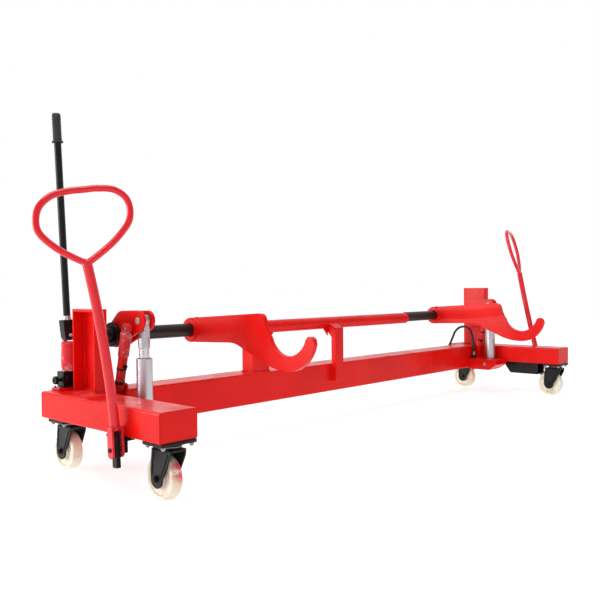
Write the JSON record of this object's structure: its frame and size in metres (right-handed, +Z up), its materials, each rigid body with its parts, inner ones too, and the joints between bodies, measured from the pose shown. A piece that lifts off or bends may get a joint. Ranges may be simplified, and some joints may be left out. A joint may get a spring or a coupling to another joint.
{
  "type": "hydraulic beam lifting trolley",
  "caption": "Long swivel-caster trolley with a cross shaft, hook arms and hydraulic rams for lifting and wheeling a heavy beam or roll, with hand pump and tow handles.",
  "frame": {"origin": "on the floor, under the middle of the whole trolley", "axes": "+X along the main beam to the right-hand end, +Z up, hooks reach towards -Y"},
  "size_m": [3.608, 0.8817, 1.3526],
  "materials": {
    "red_paint": "glossy enamel",
    "black_paint": "satin, oily and worn",
    "dark_steel": "dark oiled",
    "bright_steel": "ground bright",
    "nylon": "smooth, slightly dirty",
    "rubber": "matte"
  },
  "bodies": {
    "frame": {"left_end_box": "red_paint", "left_column": "red_paint", "left_seat_bracket": "red_paint", "left_bearing_flange": "black_paint", "left_ram_foot_pin": "bright_steel", "left_tow_lug": "black_paint", "left_front_caster_plate": "black_paint", "left_rear_caster_plate": "black_paint", "right_end_box": "red_paint", "right_column": "red_paint", "right_seat_bracket": "red_paint", "right_bearing_flange": "black_paint", "right_ram_foot_pin": "bright_steel", "right_tow_lug": "black_paint", "right_front_caster_plate": "black_paint", "right_rear_caster_plate": "black_paint", "main_beam": "red_paint", "centre_sleeve": "red_paint", "pump_base_plate": "red_paint", "pump_valve_block": "black_paint", "pump_body": "red_paint", "hydraulic_hose": "rubber", "right_hose_fitting": "black_paint", "right_guard": "black_paint"},
    "lift": {"cross_shaft": "dark_steel", "left_shaft_collar": "black_paint", "left_lift_lever": "red_paint", "left_lever_pin": "bright_steel", "right_shaft_collar": "black_paint", "right_lift_lever": "red_paint", "right_lever_pin": "bright_steel"},
    "left_arm": {"left_hook_arm": "red_paint"},
    "left_ram_barrel": {"left_ram_barrel": "bright_steel"},
    "left_ram_rod": {"left_ram_rod": "bright_steel"},
    "left_strut_barrel": {"left_strut_barrel": "red_paint"},
    "left_strut_rod": {"left_strut_rod": "bright_steel"},
    "left_front_swivel": {"left_front_caster_fork": "black_paint", "left_front_caster_axle": "bright_steel"},
    "left_front_wheel": {"left_front_caster_wheel": "nylon"},
    "left_rear_swivel": {"left_rear_caster_fork": "black_paint", "left_rear_caster_axle": "bright_steel"},
    "left_rear_wheel": {"left_rear_caster_wheel": "nylon"},
    "left_handle": {"left_tow_handle": "red_paint"},
    "right_arm": {"right_hook_arm": "red_paint"},
    "right_ram_barrel": {"right_ram_barrel": "bright_steel"},
    "right_ram_rod": {"right_ram_rod": "bright_steel"},
    "right_strut_barrel": {"right_strut_barrel": "red_paint"},
    "right_strut_rod": {"right_strut_rod": "bright_steel"},
    "right_front_swivel": {"right_front_caster_fork": "black_paint", "right_front_caster_axle": "bright_steel"},
    "right_front_wheel": {"right_front_caster_wheel": "nylon"},
    "right_rear_swivel": {"right_rear_caster_fork": "black_paint", "right_rear_caster_axle": "bright_steel"},
    "right_rear_wheel": {"right_rear_caster_wheel": "nylon"},
    "right_handle": {"right_tow_handle": "red_paint"},
    "pump_lever": {"pump_lever_socket": "black_paint", "pump_lever": "black_paint", "pump_lever_grip": "rubber"},
    "plunger": {"pump_plunger": "bright_steel"},
    "release_valve": {"pump_release_valve": "black_paint"}
  },
  "joints": [
    {"name": "lift", "type": "hinge", "parent": "frame", "child": "lift", "pos_m": [0, 0.26, 0.51], "axis": [-1, 0, 0], "range_deg": [-10, 15]},
    {"name": "left_arm_slide", "type": "slide", "parent": "lift", "child": "left_arm", "axis": [1, 0, 0], "range_m": [-0.2, 0.2]},
    {"name": "left_ram_foot", "type": "hinge", "parent": "frame", "child": "left_ram_barrel", "pos_m": [-1.31, 0.102, 0.19], "axis": [-1, 0, 0], "range_deg": [-2, 3]},
    {"name": "left_ram_stroke", "type": "slide", "parent": "left_ram_barrel", "child": "left_ram_rod", "axis": [0, 0, 1], "range_m": [-0.028, 0.042]},
    {"name": "left_strut_foot", "type": "hinge", "parent": "frame", "child": "left_strut_barrel", "pos_m": [-1.356, 0.2, 0.314], "axis": [-1, 0, 0], "range_deg": [-3, 4.5]},
    {"name": "left_strut_stroke", "type": "slide", "parent": "left_strut_barrel", "child": "left_strut_rod", "axis": [0, -0.2385, 0.9712], "range_m": [-0.019, 0.028]},
    {"name": "left_front_swivel", "type": "hinge", "parent": "frame", "child": "left_front_swivel", "pos_m": [-1.475, -0.27, 0.1], "axis": [0, 0, 1], "continuous": true},
    {"name": "left_front_roll", "type": "hinge", "parent": "left_front_swivel", "child": "left_front_wheel", "pos_m": [-1.475, -0.239, 0.075], "axis": [1, 0, 0], "continuous": true},
    {"name": "left_rear_swivel", "type": "hinge", "parent": "frame", "child": "left_rear_swivel", "pos_m": [-1.475, 0.335, 0.1], "axis": [0, 0, 1], "continuous": true},
    {"name": "left_rear_roll", "type": "hinge", "parent": "left_rear_swivel", "child": "left_rear_wheel", "pos_m": [-1.475, 0.366, 0.075], "axis": [1, 0, 0], "continuous": true},
    {"name": "left_handle_tilt", "type": "hinge", "parent": "frame", "child": "left_handle", "pos_m": [-1.58, -0.125, 0.165], "axis": [1, 0, 0], "range_deg": [-25, 75]},
    {"name": "right_arm_slide", "type": "slide", "parent": "lift", "child": "right_arm", "axis": [1, 0, 0], "range_m": [-0.2, 0.25]},
    {"name": "right_ram_foot", "type": "hinge", "parent": "frame", "child": "right_ram_barrel", "pos_m": [1.34, 0.102, 0.19], "axis": [-1, 0, 0], "range_deg": [-2, 3]},
    {"name": "right_ram_stroke", "type": "slide", "parent": "right_ram_barrel", "child": "right_ram_rod", "axis": [0, 0, 1], "range_m": [-0.028, 0.042]},
    {"name": "right_strut_foot", "type": "hinge", "parent": "frame", "child": "right_strut_barrel", "pos_m": [1.386, 0.2, 0.314], "axis": [-1, 0, 0], "range_deg": [-3, 4.5]},
    {"name": "right_strut_stroke", "type": "slide", "parent": "right_strut_barrel", "child": "right_strut_rod", "axis": [0, -0.2385, 0.9712], "range_m": [-0.019, 0.028]},
    {"name": "right_front_swivel", "type": "hinge", "parent": "frame", "child": "right_front_swivel", "pos_m": [1.475, -0.27, 0.1], "axis": [0, 0, 1], "continuous": true},
    {"name": "right_front_roll", "type": "hinge", "parent": "right_front_swivel", "child": "right_front_wheel", "pos_m": [1.475, -0.239, 0.075], "axis": [1, 0, 0], "continuous": true},
    {"name": "right_rear_swivel", "type": "hinge", "parent": "frame", "child": "right_rear_swivel", "pos_m": [1.475, 0.335, 0.1], "axis": [0, 0, 1], "continuous": true},
    {"name": "right_rear_roll", "type": "hinge", "parent": "right_rear_swivel", "child": "right_rear_wheel", "pos_m": [1.475, 0.366, 0.075], "axis": [1, 0, 0], "continuous": true},
    {"name": "right_handle_tilt", "type": "hinge", "parent": "frame", "child": "right_handle", "pos_m": [1.58, -0.125, 0.165], "axis": [1, 0, 0], "range_deg": [-25, 75]},
    {"name": "pump_stroke", "type": "hinge", "parent": "frame", "child": "pump_lever", "pos_m": [-1.455, 0.395, 0.51], "axis": [0, 1, 0], "range_deg": [0, 35]},
    {"name": "plunger_travel", "type": "slide", "parent": "frame", "child": "plunger", "axis": [0, 0, 1], "range_m": [-0.013, 0]},
    {"name": "release_turn", "type": "hinge", "parent": "frame", "child": "release_valve", "pos_m": [-1.5, 0.395, 0.34], "axis": [-1, 0, 0], "range_deg": [0, 90]}
  ],
  "couplings": [
    {"joint": "left_ram_foot", "follows": "lift", "ratio": 0.16},
    {"joint": "left_ram_stroke", "follows": "lift", "m_per_rad": 0.1547},
    {"joint": "left_strut_foot", "follows": "lift", "ratio": 0.245},
    {"joint": "left_strut_stroke", "follows": "lift", "m_per_rad": 0.10242},
    {"joint": "right_ram_foot", "follows": "lift", "ratio": 0.16},
    {"joint": "right_ram_stroke", "follows": "lift", "m_per_rad": 0.1547},
    {"joint": "right_strut_foot", "follows": "lift", "ratio": 0.245},
    {"joint": "right_strut_stroke", "follows": "lift", "m_per_rad": 0.10242},
    {"joint": "plunger_travel", "follows": "pump_stroke", "m_per_rad": -0.02}
  ]
}
